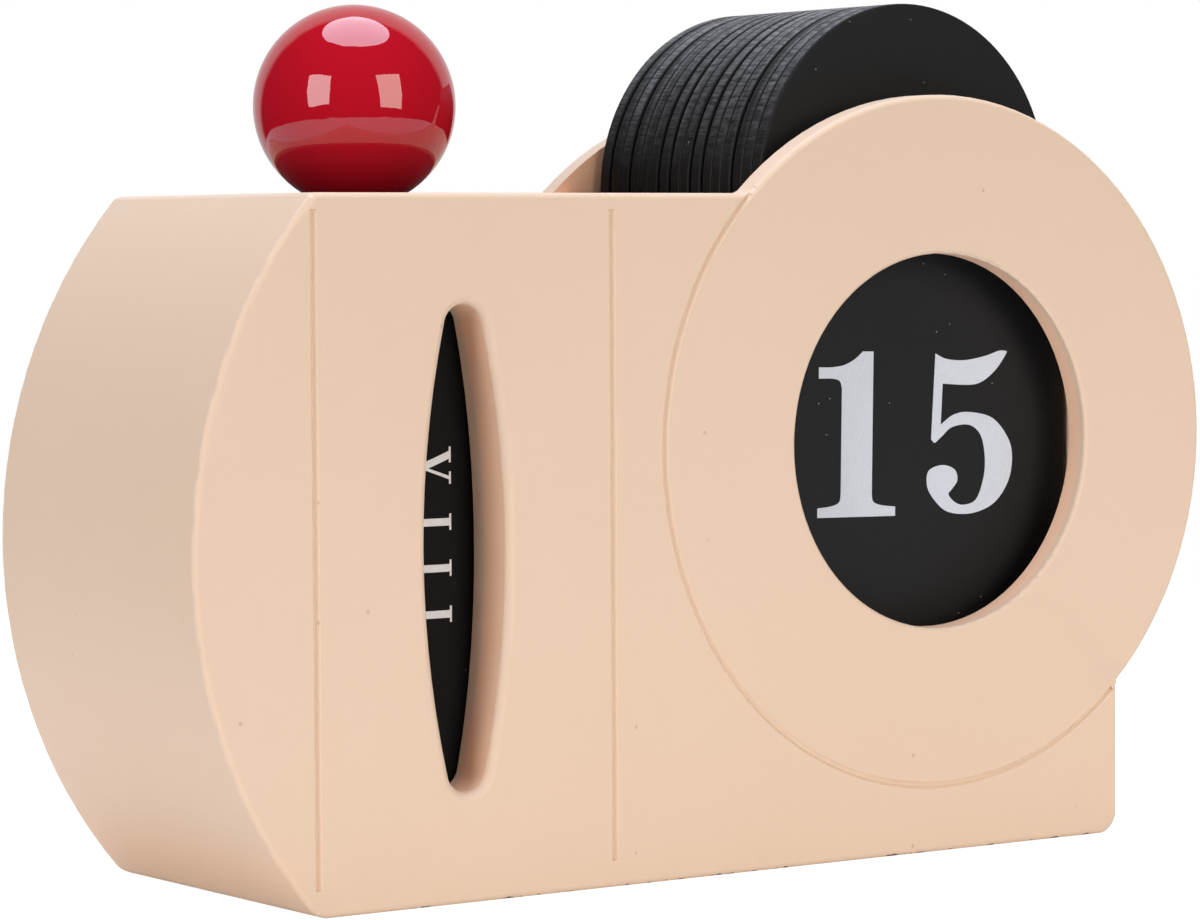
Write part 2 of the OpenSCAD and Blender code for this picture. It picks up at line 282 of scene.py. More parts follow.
def new_group(name, inputs, output):
    """An empty group with float inputs after its vector, and one float output."""
    group = bpy.data.node_groups.new(name, "ShaderNodeTree")
    group.interface.new_socket("Vector", in_out="INPUT", socket_type="NodeSocketVector")
    for key in inputs:
        group.interface.new_socket(key, in_out="INPUT", socket_type="NodeSocketFloat")
    group.interface.new_socket(output, in_out="OUTPUT", socket_type="NodeSocketFloat")
    return group, group.nodes.new("NodeGroupInput").outputs, group.nodes.new("NodeGroupOutput").inputs


def use_group(tree, group, vector, **values):
    """Places a group in a tree with its own values, and gives what it puts out."""
    return add_node(tree, "Group", {"node_tree": group}, Vector=vector, **values).outputs[0]


print("group helpers: maths, new_group, use_group")

# %% Specks and mottle
SPECK_CORE = 0.6
MOTTLE_ROUGHNESS = 0.55

specks, speck_in, speck_out = new_group("specks", ["Scale", "Size", "Share"], "Mask")
cells = add_node(specks, "TexVoronoi", Vector=speck_in["Vector"], Scale=speck_in["Scale"]).outputs
chance = add_node(specks, "SeparateColor", Color=cells["Color"]).outputs
dot_edge = maths(specks, "MULTIPLY", speck_in["Size"], chance["Green"])
dot_core = maths(specks, "MULTIPLY", dot_edge, SPECK_CORE)
dots = add_node(specks, "MapRange", Value=cells["Distance"], From_Min=dot_edge, From_Max=dot_core)
chosen = maths(specks, "LESS_THAN", chance["Red"], speck_in["Share"])
feed(specks, speck_out["Mask"], maths(specks, "MULTIPLY", dots.outputs["Result"], chosen))

mottle, mottle_in, mottle_out = new_group("mottle", ["Scale", "Detail"], "Value")
cloud = add_node(
    mottle, "TexNoise", Vector=mottle_in["Vector"],
    Scale=mottle_in["Scale"], Detail=mottle_in["Detail"], Roughness=MOTTLE_ROUGHNESS,
)
feed(mottle, mottle_out["Value"], cloud.outputs["Fac"])
print("groups:", [group.name for group in bpy.data.node_groups])

# %% [markdown]
# ## Laying tones on a finish
# Every finish starts as one Principled shader with a plain colour and roughness. An image could hold all its
# detail, but it would need an unwrapped mesh and blur close up. Here the detail is laid on in steps, as a
# painter lays glazes: a mask says where, and another colour is mixed in there. A bump gives a fine relief
# that costs no faces. Patterns read the object's own coordinates, so they move with the piece.

# %% Finish helpers


def new_finish(name, colour, roughness, **sockets):
    """A material with one Principled shader, and its tree, shader and object coordinates."""
    material = bpy.data.materials.new(name)
    material.use_nodes = True
    tree = material.node_tree
    shader = tree.nodes["Principled BSDF"]
    shader.inputs["Base Color"].default_value = (*colour, 1)
    shader.inputs["Roughness"].default_value = roughness
    for key, value in sockets.items():
        input_of(shader, key).default_value = value
    return material, tree, shader, add_node(tree, "TexCoord").outputs["Object"]


def colour_of(value):
    """A link as it is, or three numbers as a solid colour."""
    return value if isinstance(value, bpy.types.NodeSocket) else (*value, 1)


def tint(tree, mask, under, over):
    """Lays one colour over another where the mask is 1. Inputs 6 and 7 of a Mix node are its colours."""
    node = add_node(tree, "Mix", {"data_type": "RGBA"}, i0=mask, i6=colour_of(under), i7=colour_of(over))
    return node.outputs[2]


def bump(tree, shader, height, depth):
    """Raises the surface by a height of 0 to 1, times a depth in metres."""
    relief = add_node(tree, "Bump", Height=height, Distance=depth)
    feed(tree, shader.inputs["Normal"], relief.outputs["Normal"])


print("finish helpers: new_finish, colour_of, tint, bump")

# %% [markdown]
# ## Masks from places
# Paint differs from place to place, on a wall or in a groove. Such places could be painted by hand on an
# unwrapped mesh. Here each is a mask worked out from a point's own place on the object, which follows the
# real sizes and needs no map. Four small helpers make them all.

# %% Mask helpers


def ramp(tree, value, start, end):
    """A mask that rises from 0 where the value is at its start to 1 at its end."""
    return add_node(tree, "MapRange", Value=value, From_Min=start, From_Max=end).outputs["Result"]


def both(tree, mask_a, mask_b):
    """A mask that holds where both masks do."""
    return maths(tree, "MULTIPLY", mask_a, mask_b)


def band(tree, value, middle, half, soft):
    """A mask that is 1 near the middle, and falls to 0 past half the band's width."""
    away = maths(tree, "ABSOLUTE", maths(tree, "SUBTRACT", value, middle))
    return ramp(tree, away, half + soft, half - soft)


def between(tree, value, rise, fall):
    """A mask that rises over the first pair of values and falls over the second pair."""
    return both(tree, ramp(tree, value, *rise), ramp(tree, value, fall[1], fall[0]))


print("mask helpers: ramp, both, band, between")

# %% [markdown]
# ## The peach paint
# The wood is sprayed with a matte peach paint. It is very even, but a single colour would look like moulded
# plastic. A slow drift between two close tones over the whole block is enough to make it look sprayed. The
# depth behind the front face is worked out here too, because most of the next masks use it.

# %% Peach paint
PEACH = (0.800, 0.590, 0.430)
PEACH_WARM = (0.770, 0.555, 0.395)
PAINT_ROUGHNESS = 0.62

paint, tree, shader, position = new_finish("peach_paint", PEACH, PAINT_ROUGHNESS)
drift = use_group(tree, mottle, position, Scale=16.0, Detail=2.0)
tone = tint(tree, drift, PEACH, PEACH_WARM)
axes = add_node(tree, "SeparateXYZ", Vector=position).outputs
depth = maths(tree, "SUBTRACT", axes["Y"], panel_lo.y)
print("finish:", paint.name)

# %% [markdown]
# ## Painted light in the window and the slot
# Inside both openings the paint is made warmer, as painted bounce light between their peach sides, and the
# slot's rounded edge is made a little darker than the face, as painted shade that dims the highlight it
# catches. Another lamp could bring this out only by changing the faces too, so the tone itself changes.
# The window's mask is a circle round the ring's axis and the slot's is a rectangle, both a fraction of a
# millimetre larger than the opening. The depth keeps one tone to the edge and the other to the wall, and
# both off the back of the block.

# %% Painted light in the openings
# The next tone is painted shade for the slot's rounded edge, which dims the highlight it catches.
EDGE_SHADE_PEACH = (0.750, 0.553, 0.403)
EDGE_STARTS = (0.0, 0.12 * MM)
EDGE_ENDS = (2.0 * MM, 2.5 * MM)
# The next tone is painted bounce light for the sides of both openings, warmer than the face.
WALL_BOUNCE_PEACH = (0.920, 0.582, 0.388)
WALL_STARTS = (0.8 * MM, 2.0 * MM)
WALL_ENDS = (panel_hi.y - panel_lo.y + 2.0 * MM, panel_hi.y - panel_lo.y + 3.0 * MM)
WINDOW_REACH = 29.2 * MM
SLOT_REACH_ASIDE = 7.4 * MM
SLOT_REACH_UP = 35.5 * MM
OPENING_SOFT = 0.3 * MM

from_front = add_node(tree, "CombineXYZ", X=axes["X"], Z=axes["Z"]).outputs["Vector"]
ring_axis = Vector((ring_x, 0, ring_z))
reach = add_node(tree, "VectorMath", {"operation": "DISTANCE"}, i0=from_front, i1=ring_axis)
from_axis = reach.outputs["Value"]
in_window = ramp(tree, from_axis, WINDOW_REACH + OPENING_SOFT, WINDOW_REACH)
in_slot = both(
    tree,
    band(tree, axes["X"], roller_x, SLOT_REACH_ASIDE, OPENING_SOFT),
    band(tree, axes["Z"], block_top / 2, SLOT_REACH_UP, OPENING_SOFT),
)
# Painted shade on the slot's rounded edge.
slot_edge_shade = both(tree, in_slot, between(tree, depth, EDGE_STARTS, EDGE_ENDS))
tone = tint(tree, slot_edge_shade, tone, EDGE_SHADE_PEACH)
in_opening = maths(tree, "MAXIMUM", in_slot, in_window)
# Painted bounce light on the sides of both openings, as light bouncing between peach faces would give.
wall_bounce = both(tree, in_opening, between(tree, depth, WALL_STARTS, WALL_ENDS))
tone = tint(tree, wall_bounce, tone, WALL_BOUNCE_PEACH)
print("window mask:", round(2 * WINDOW_REACH / MM, 1), "mm across")
print("slot mask:", round(2 * SLOT_REACH_UP / MM, 1), "mm high")

# %% [markdown]
# ## Painted light in the grooves
# Two upright grooves and the groove round the ring are cut into the face and sprayed over. Their bottom is
# painted paler, as painted light that lifts the shade there, so they read as soft lines and not as dark cuts.
# Their shape is in the solid already. A narrow band along the middle of each, just below the face, is all
# that the tone needs. Round the ring, the band stays on the block, where the ring doesn't stand free.

# %% Painted light in the grooves
# The next tone is painted light: a paler peach that lifts the shade at the bottom of the grooves.
GROOVE_LIGHT_PEACH = (0.865, 0.665, 0.500)
LEFT_GROOVE = panel_lo.x + 19.7 * MM
RIGHT_GROOVE = panel_lo.x + 70.7 * MM
LIFT_HALF = 0.18 * MM
LIFT_SOFT = 0.12 * MM
LIFT_STARTS = (0.05 * MM, 0.3 * MM)
LIFT_ENDS = (0.9 * MM, 1.2 * MM)
BLOCK_SIDE = (foot_right - 1.0 * MM, foot_right - 2.5 * MM)
BLOCK_UPPER = (block_top - 1.0 * MM, block_top - 2.0 * MM)

on_block = both(tree, ramp(tree, axes["X"], *BLOCK_SIDE), ramp(tree, axes["Z"], *BLOCK_UPPER))
lines = both(tree, on_block, band(tree, from_axis, ring_r, LIFT_HALF, LIFT_SOFT))
for groove_x in (LEFT_GROOVE, RIGHT_GROOVE):
    upright_line = band(tree, axes["X"], groove_x, LIFT_HALF, LIFT_SOFT)
    lines = maths(tree, "MAXIMUM", lines, upright_line)
# Painted light along the bottom of each groove.
groove_light = both(tree, lines, between(tree, depth, LIFT_STARTS, LIFT_ENDS))
tone = tint(tree, groove_light, tone, GROOVE_LIGHT_PEACH)
print("grooves in mm from the left:", [round((x - panel_lo.x) / MM, 1) for x in (LEFT_GROOVE, RIGHT_GROOVE)])

# %% [markdown]
# ## Painted bounce light behind the cards and under the left end
# The inner face of the back panel looks out beside the cards, and the foot of the left end curves in towards
# the table. Both are given painted bounce light: a warmer peach, as light bounced between the cards and the
# wood, or off the table, would make them. Materials of their own would meet the rest in a hard line, so two
# more masks are used. The direction of the surface finds the first place: it faces the front and lies at the
# back panel's depth. The second lies left of the left groove, close to the table.

# %% Painted bounce light behind and below
# The next tone is painted bounce light for the back panel's inner face beside the cards.
BACK_BOUNCE_PEACH = (0.950, 0.550, 0.350)
BACK_FACING = (-0.7, -0.9)
BACK_STARTS = (back_lo.y - 1.0 * MM, back_lo.y - 0.5 * MM)
# The next tone is painted bounce light for the foot of the left end, close to the table.
FOOT_BOUNCE_PEACH = (0.870, 0.560, 0.370)
FOOT_RISE = (12.0 * MM, 1.0 * MM)
LEFT_END = (LEFT_GROOVE - 1.0 * MM, LEFT_GROOVE - 6.0 * MM)

normal = add_node(tree, "NewGeometry").outputs["Normal"]
facing = add_node(tree, "SeparateXYZ", Vector=normal).outputs
# Painted bounce light on the back panel's inner face.
back_bounce = both(tree, ramp(tree, facing["Y"], *BACK_FACING), ramp(tree, axes["Y"], *BACK_STARTS))
tone = tint(tree, back_bounce, tone, BACK_BOUNCE_PEACH)
# Painted bounce light on the foot of the left end.
foot_bounce = both(tree, ramp(tree, axes["X"], *LEFT_END), ramp(tree, axes["Z"], *FOOT_RISE))
tone = tint(tree, foot_bounce, tone, FOOT_BOUNCE_PEACH)
print("back panel starts at", round(back_lo.y / MM, 2), "mm")

# %% [markdown]
# ## Pits, chips and spray
# A few shallow pits show in the paint, small chips run along the foot, where the block has been set down, and
# the whole surface has a very fine spray texture. Pits could be cut into the mesh, but at a fraction of a
# millimetre a mask and a bump look the same. The chips keep to surfaces that turn to the side, so the flat
# underside stays whole.

# %% Pits, chips and spray
PIT = (0.40, 0.25, 0.17)
PIT_STRENGTH = 0.42
PIT_SINK = 1.5
BARE_CHIP = (0.10, 0.07, 0.05)
CHIP_LIMIT = 0.57
CHIP_FACING = (-0.995, -0.95)
CHIP_RISE = (1.3 * MM, 0.2 * MM)
SPRAY_DEPTH = 0.03 * MM

pits = use_group(tree, specks, position, Scale=150.0, Size=0.075, Share=0.22)
tone = tint(tree, maths(tree, "MULTIPLY", pits, PIT_STRENGTH), tone, PIT)
foot_edge = both(tree, ramp(tree, facing["Z"], *CHIP_FACING), ramp(tree, axes["Z"], *CHIP_RISE))
broken = use_group(tree, mottle, position, Scale=420.0, Detail=3.0)
chips = maths(tree, "GREATER_THAN", both(tree, foot_edge, broken), CHIP_LIMIT)
tone = tint(tree, chips, tone, BARE_CHIP)
feed(tree, shader.inputs["Base Color"], tone)
spray = use_group(tree, mottle, position, Scale=2600.0, Detail=2.0)
pitted = maths(tree, "SUBTRACT", spray, maths(tree, "MULTIPLY", pits, PIT_SINK))
bump(tree, shader, pitted, SPRAY_DEPTH)
print("nodes in the paint:", len(tree.nodes))

# %% [markdown]
# ## The painted layers
# The body is four boards, glued face to face. They already have their exact shape in the frame, rounded edges
# included, so nothing is modelled again. But a layer's mesh is loose triangles, which would show as flat
# facets. A copy is merged, its edges are smoothed where faces meet at a small angle, and weighted normals
# keep the large faces flat.

# %% Layer helpers
MERGE = 0.002 * MM
SMOOTH_ANGLE = math.radians(32)


def select_only(piece):
    """Selects one object and makes it active, because an operator acts on all that is selected."""
    bpy.ops.object.select_all(action="DESELECT")
    piece.select_set(True)
    bpy.context.view_layer.objects.active = piece


def dress(piece, body, slot, finish, *nodes):
    """Gives a piece its finish, the body that it rides on and the solids that it stands for."""
    piece.data.materials.clear()
    piece.data.materials.append(finish)
    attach(piece, body)
    if nodes:
        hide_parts(*nodes)
    return piece


def smooth_copy(node, name):
    """A merged copy of a solid, smooth across edges under the angle."""
    piece = bpy.data.objects.new(name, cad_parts[node].data.copy())
    scene.collection.objects.link(piece)
    select_only(piece)
    bpy.ops.mesh.customdata_custom_splitnormals_clear()
    bpy.ops.object.mode_set(mode="EDIT")
    bpy.ops.mesh.select_all(action="SELECT")
    bpy.ops.mesh.remove_doubles(threshold=MERGE)
    bpy.ops.object.mode_set(mode="OBJECT")
    bpy.ops.object.shade_smooth_by_angle(angle=SMOOTH_ANGLE)
    even = piece.modifiers.new("even_normals", "WEIGHTED_NORMAL")
    even.keep_sharp = True
    bpy.ops.object.modifier_apply(modifier=even.name)
    return piece


print("layer helpers: select_only, dress, smooth_copy")

# %% Painted layers
layers = {}
for node in ("front_panel", "front_core", "rear_core", "back_panel"):
    layers[node] = dress(smooth_copy(node, "painted_" + node), "case", "painted_wood", paint, node)
    print(layers[node].name, len(layers[node].data.polygons), "faces")

# %% [markdown]
# ## The eased corner
# Where the ring's rounding runs into the foot's, the solid has one sharp point, in front and behind. On the
# real board, sandpaper takes such a point off. A bevel would cut the edges near it as well, so only that
# vertex is moved, to the middle of a rounding.

# %% Eased corner
NEAR = 0.02 * MM
CORNER_EASE = 0.42 * MM


def ease_corner(piece, outer_y, inward):
    """Moves the sharp point on an outer face to the left and inwards."""
    for vertex in piece.data.vertices:
        on_face = abs(vertex.co.y - outer_y) < NEAR
        on_foot = abs(vertex.co.x - foot_right) < NEAR and vertex.co.z < ring_z
        if on_face and on_foot:
            vertex.co += Vector((-CORNER_EASE, inward * CORNER_EASE, 0))
            print("eased a corner of", piece.name, "at z", round(vertex.co.z / MM, 2))


ease_corner(layers["front_panel"], panel_lo.y, 1)
ease_corner(layers["back_panel"], back_hi.y, -1)

# %% [markdown]
# ## The red lacquer
# The knob is dipped in red lacquer. Its gloss could come from a clear coat over a dull base, but one smooth,
# strongly reflecting surface gives the same sharp highlights. The lacquer has a little waviness, which bends
# the edges of those highlights, and a few specks of dust.

# %% Red lacquer
LACQUER_RED = (0.50, 0.006, 0.017)
LACQUER_DEEP = (0.46, 0.005, 0.016)
LACQUER_DUST = (0.62, 0.16, 0.16)
LACQUER_ROUGHNESS = 0.02
WAVE_DEPTH = 0.03 * MM

lacquer, tree, shader, position = new_finish("red_lacquer", LACQUER_RED, LACQUER_ROUGHNESS, IOR=1.6)
shade = use_group(tree, mottle, position, Scale=40.0, Detail=2.0)
red = tint(tree, shade, LACQUER_RED, LACQUER_DEEP)
caught = use_group(tree, specks, position, Scale=260.0, Size=0.05, Share=0.06)
feed(tree, shader.inputs["Base Color"], tint(tree, caught, red, LACQUER_DUST))
wave = use_group(tree, mottle, position, Scale=330.0, Detail=1.0)
bump(tree, shader, wave, WAVE_DEPTH)
print("finish:", lacquer.name)

# %% [markdown]
# ## The ball
# The knob is a turned wooden ball with a flat underneath, where it meets the roller. A profile could be spun
# as on a lathe, but a sphere is nearly there: it is cut at the flat, the cut is filled, and its rim is
# bevelled, so that the ball ends in a soft edge.

# %% Red ball
BALL_SEGMENTS = 96
BALL_RINGS = 64
BALL_RIM = 0.5 * MM
BALL_RIM_STEPS = 4
BALL_SMOOTH = math.radians(35)

ball_r = (knob_hi.x - knob_lo.x) / 2
ball_middle = Vector((roller_x, roller_y, knob_hi.z - ball_r))
bpy.ops.object.select_all(action="DESELECT")
bpy.ops.mesh.primitive_uv_sphere_add(
    segments=BALL_SEGMENTS, ring_count=BALL_RINGS, radius=ball_r, location=ball_middle,
)
ball = bpy.context.object
ball.name = "lacquered_ball"
bpy.ops.object.mode_set(mode="EDIT")
bpy.ops.mesh.select_all(action="SELECT")
bpy.ops.mesh.bisect(plane_co=(0, 0, knob_lo.z), plane_no=(0, 0, 1), clear_inner=True, use_fill=True)
bpy.ops.mesh.bevel(offset=BALL_RIM, segments=BALL_RIM_STEPS, affect="EDGES")
bpy.ops.object.mode_set(mode="OBJECT")
bpy.ops.object.transform_apply(location=True, rotation=True, scale=True)
bpy.ops.object.shade_smooth_by_angle(angle=BALL_SMOOTH)
dress(ball, "month_drum", "red_lacquer", lacquer, "knob")
print("ball:", round(2 * ball_r / MM, 2), "mm,", len(ball.data.polygons), "faces")

# %% [markdown]
# ## The black of the cards
# Each card is cut from a black sheet. Its faces are matte, and the cutter leaves fine strokes across the rim.
# The rim is painted darker than the faces, as painted shade, and grey where it faces up, as a painted sheen
# from the overhead light that the strokes break up. Thousands of ridges could be modelled. Here the strokes
# are noise that is stretched along the card's thickness and kept to the rim by the direction of the surface.
# A second noise changes only along the row, so the painted sheen is weaker on some cards, as painted shade
# for cards that stand lower beside their neighbours.

# %% Strokes and painted sheen on the rim
CARD_BLACK = (0.0075, 0.0075, 0.0078)
CARD_ROUGHNESS = 0.5
CARD_SHEEN = 0.24
RIM_TURN = 0.5
RIM_UPWARD = (0.1, 0.9)
STROKE_RANGE = (0.3, 0.7)
ROW_RANGE = (0.25, 0.65)

card_black, tree, shader, position = new_finish(
    "card_black", CARD_BLACK, CARD_ROUGHNESS, Specular_IOR_Level=CARD_SHEEN,
)
card_normal = add_node(tree, "NewGeometry").outputs["Normal"]
card_facing = add_node(tree, "SeparateXYZ", Vector=card_normal).outputs
rim = maths(tree, "LESS_THAN", maths(tree, "ABSOLUTE", card_facing["Y"]), RIM_TURN)
# Upward-facing rims get the painted sheen.
upward = ramp(tree, card_facing["Z"], *RIM_UPWARD)
across_rim = add_node(tree, "Mapping", Vector=position, Scale=(1.0, 0.15, 1.0)).outputs["Vector"]
strokes = use_group(tree, mottle, across_rim, Scale=2300.0, Detail=2.0)
along_row = add_node(tree, "Mapping", Vector=position, Scale=(0.02, 1.0, 0.02)).outputs["Vector"]
card_tone = use_group(tree, mottle, along_row, Scale=400.0, Detail=1.0)
strokes_and_row_shade = both(tree, ramp(tree, strokes, *STROKE_RANGE), ramp(tree, card_tone, *ROW_RANGE))
# Painted sheen on upward rims, broken by the cutter's strokes and weaker on some cards as painted shade.
rim_sheen_and_strokes = both(tree, both(tree, rim, upward), strokes_and_row_shade)
print("finish:", card_black.name)

# %% Card black
# The next two colours are painted shade for the rims and painted sheen for upward rims.
RIM_SHADE_BLACK = (0.0025, 0.0025, 0.0026)
RIM_SHEEN_GREY = (0.215, 0.215, 0.222)
CARD_DULL = 0.52
RIM_POLISH = 0.32
POLISHED_AT = 0.6
DUST_GREY = (0.30, 0.29, 0.28)
FACE_GRAIN = 0.25
STROKE_DEPTH = 0.08 * MM

# Rims painted darker as painted shade, and grey on top as painted sheen.
black = tint(tree, rim_sheen_and_strokes, tint(tree, rim, CARD_BLACK, RIM_SHADE_BLACK), RIM_SHEEN_GREY)
card_dust = use_group(tree, specks, position, Scale=420.0, Size=0.075, Share=0.45)
feed(tree, shader.inputs["Base Color"], tint(tree, card_dust, black, DUST_GREY))
polish = add_node(
    tree, "MapRange", Value=rim_sheen_and_strokes,
    From_Min=0.0, From_Max=POLISHED_AT, To_Min=CARD_DULL, To_Max=RIM_POLISH,
)
feed(tree, shader.inputs["Roughness"], polish.outputs["Result"])
fine = use_group(tree, mottle, position, Scale=3000.0, Detail=1.0)
cut_marks = maths(tree, "ADD", both(tree, rim, strokes), maths(tree, "MULTIPLY", fine, FACE_GRAIN))
bump(tree, shader, cut_marks, STROKE_DEPTH)
print("nodes in the black:", len(tree.nodes))

# %% [markdown]
# ## The day cards
# Sixteen cards carry the 31 days on their two sides and stand close together in the trough. They could be
# plain slabs, but then the row would look like one block. Their outline is in the frame, and a narrow bevel
# breaks the sharp edges, so each card catches a thin line of light. The flat triangles are dissolved into
# single faces first, because a bevel needs clean edges to run along.

# %% Day cards
CARD_EDGE = 0.38 * MM
CARD_EDGE_STEPS = 3
CARD_EDGE_ANGLE = math.radians(50)
CARD_SMOOTH = math.radians(30)
FLAT_ANGLE = math.radians(0.1)


def cut_card(node):
    """A card with its flat faces as single faces and a narrow bevel round them."""
    piece = smooth_copy(node, "cut_" + node)
    bpy.ops.object.mode_set(mode="EDIT")
    bpy.ops.mesh.select_all(action="SELECT")
    bpy.ops.mesh.dissolve_limited(angle_limit=FLAT_ANGLE)
    bpy.ops.object.mode_set(mode="OBJECT")
    edge = piece.modifiers.new("edge", "BEVEL")
    edge.width = CARD_EDGE
    edge.segments = CARD_EDGE_STEPS
    edge.limit_method = "ANGLE"
    edge.angle_limit = CARD_EDGE_ANGLE
    bpy.ops.object.modifier_apply(modifier=edge.name)
    bpy.ops.object.shade_smooth_by_angle(angle=CARD_SMOOTH)
    return piece


def card_body(node):
    """The body that a card moves with, which has the card's number."""
    return "card_" + node[-2:]


for node in cards:
    dress(cut_card(node), card_body(node), "card_black", card_black, node)
print("cards:", len(cards))

# %% [markdown]
# ## The month sleeve
# The months are printed on a sheet of black paper round a turned drum. The paper is duller than the cards,
# with a fine fibre and a little lint. A new cylinder could stand for it, but the frame's tube has the right
# wall and length already, so a smoothed copy of it gets the finish.

# %% Paper sleeve
PAPER_BLACK = (0.005, 0.005, 0.005)
PAPER_DARK = (0.003, 0.003, 0.003)
PAPER_LIGHT = (0.009, 0.008, 0.008)
LINT_GREY = (0.20, 0.19, 0.18)
PAPER_ROUGHNESS = 0.75
PAPER_SHEEN = 0.12
FIBRE_DEPTH = 0.03 * MM

paper, tree, shader, position = new_finish(
    "black_paper", PAPER_BLACK, PAPER_ROUGHNESS, Specular_IOR_Level=PAPER_SHEEN,
)
fibre = use_group(tree, mottle, position, Scale=1500.0, Detail=3.0)
lint = use_group(tree, specks, position, Scale=420.0, Size=0.075, Share=0.30)
sheet_tone = tint(tree, fibre, PAPER_DARK, PAPER_LIGHT)
feed(tree, shader.inputs["Base Color"], tint(tree, lint, sheet_tone, LINT_GREY))
bump(tree, shader, fibre, FIBRE_DEPTH)
sleeve = smooth_copy("month_sleeve", "paper_sleeve")
dress(sleeve, "month_drum", "black_sleeve", paper, "month_sleeve")
print("sleeve:", len(sleeve.data.polygons), "faces")

# %% [markdown]
# ## The pieces inside
# The drum's black end shows in its open bore under the ball. The spindle and the washer are out of sight, but
# they get true finishes as well: drawn steel and nylon. Nothing about their shape has to change, so the
# frame's own solids take the finishes. Wood that is turned on a lathe and steel that is drawn through a die
# both have a grain along their length, which is noise stretched along Z.

# %% Inner pieces
DRUM_BLACK = (0.013, 0.013, 0.013)
DRUM_DARK = (0.010, 0.010, 0.010)
DRUM_LIGHT = (0.020, 0.019, 0.018)
STEEL = (0.55, 0.55, 0.56)
NYLON = (0.80, 0.79, 0.74)
WOOD_DEPTH = 0.05 * MM
DRAWN_DEPTH = 0.01 * MM

black_drum, tree, shader, position = new_finish(
    "black_drum", DRUM_BLACK, roughness=0.6, Specular_IOR_Level=0.3,
)
along_drum = add_node(tree, "Mapping", Vector=position, Scale=(1.0, 1.0, 0.08)).outputs["Vector"]
wood_grain = use_group(tree, mottle, along_drum, Scale=300.0, Detail=4.0)
feed(tree, shader.inputs["Base Color"], tint(tree, wood_grain, DRUM_DARK, DRUM_LIGHT))
bump(tree, shader, wood_grain, WOOD_DEPTH)

drawn_steel, tree, shader, position = new_finish("drawn_steel", STEEL, roughness=0.3, Metallic=1.0)
along_pin = add_node(tree, "Mapping", Vector=position, Scale=(1.0, 1.0, 0.01)).outputs["Vector"]
bump(tree, shader, use_group(tree, mottle, along_pin, Scale=4000.0, Detail=1.0), DRAWN_DEPTH)

nylon, tree, shader, position = new_finish("nylon", NYLON, roughness=0.45)
bump(tree, shader, use_group(tree, mottle, position, Scale=900.0, Detail=1.0), DRAWN_DEPTH)

for node, finish in (("month_roller", black_drum), ("spindle", drawn_steel), ("thrust_washer", nylon)):
    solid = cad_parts[node]
    solid.data.materials.clear()
    solid.data.materials.append(finish)
    print(node, "has", finish.name)

# %% [markdown]
# ## Drawing an outline
# The days are printed in a bold numeral with thick stems, thin hairlines and round ends. A font file would be
# one way to get it. Here each digit is an outline of its own, so the lesson needs nothing but itself. Corners
# are single points, `through` lays a smooth line through a few points wherever the edge is round, and `oval`
# makes the bowls.

# %% Outline helpers
CURVE_STEPS = 6
OVAL_STEPS = 48


def corners(*points):
    """Points that the outline joins with straight lines."""
    return [Vector(point) for point in points]


def through(*points):
    """A smooth line through the points."""
    ends = [Vector(point) for point in (points[0], *points, points[-1])]
    line = []
    for a, b, c, d in zip(ends, ends[1:], ends[2:], ends[3:]):
        for k in range(CURVE_STEPS):
            t = k / CURVE_STEPS
            bend = (c - a) * t + (2 * a - 5 * b + 4 * c - d) * t**2 + (3 * b - a - 3 * c + d) * t**3
            line.append(b + bend / 2)
    return line + [ends[-1]]


def oval(x, z, half_width, half_height):
    """A closed oval round its middle."""
    turns = [2 * math.pi * k / OVAL_STEPS for k in range(OVAL_STEPS)]
    return [Vector((x + half_width * math.cos(t), z + half_height * math.sin(t))) for t in turns]


print("outline helpers: corners, through, oval")

# %% [markdown]
# ## Digits from nought to four
# A digit is a list of closed outlines: the outer edge first, then its holes. Sizes are in millimetres from
# the digit's lower left. The straight ends of one and four are corners, and small curves join a stem to its
# foot, as in cut type.

# %% Digits from nought to four
nought = [oval(9.0, 13.2, 9.0, 13.4), oval(9.0, 13.2, 3.5, 12.1)]
one = [
    corners((0, 0), (15.4, 0), (15.4, 1.5))
    + through((15.4, 1.5), (12.5, 1.8), (11.0, 2.4), (10.7, 3.6))
    + corners((10.7, 26.3), (8.5, 26.3))
    + through((8.5, 26.2), (6.9, 25.0), (4.8, 24.1), (2.4, 23.8), (0, 23.8))
    + through((0, 22.0), (2.6, 22.0), (4.1, 21.6), (4.55, 20.4))
    + through((4.55, 3.6), (4.25, 2.4), (2.8, 1.8), (0, 1.5))
]
two = [
    corners((0.6, 0))
    + through((0.6, 1.2), (3.4, 5.6), (8.0, 10.2), (10.8, 14.2), (11.6, 18.6), (10.9, 22.6), (8.3, 24.9),
              (5.6, 24.6), (4.4, 23.2), (6.0, 22.0), (6.6, 19.6), (5.4, 17.3), (3.4, 16.7), (1.2, 17.7),
              (0.6, 20.2), (1.5, 23.0), (3.8, 25.4), (8.6, 26.6), (14.0, 25.2), (16.9, 21.4), (17.0, 17.6),
              (14.9, 13.6), (10.6, 9.6), (6.2, 6.0))
    + through((6.2, 6.0), (8.2, 6.3), (10.6, 5.6), (13.2, 5.0), (15.2, 5.7), (16.0, 8.2))
    + corners((17.4, 8.2), (16.4, 0))
]
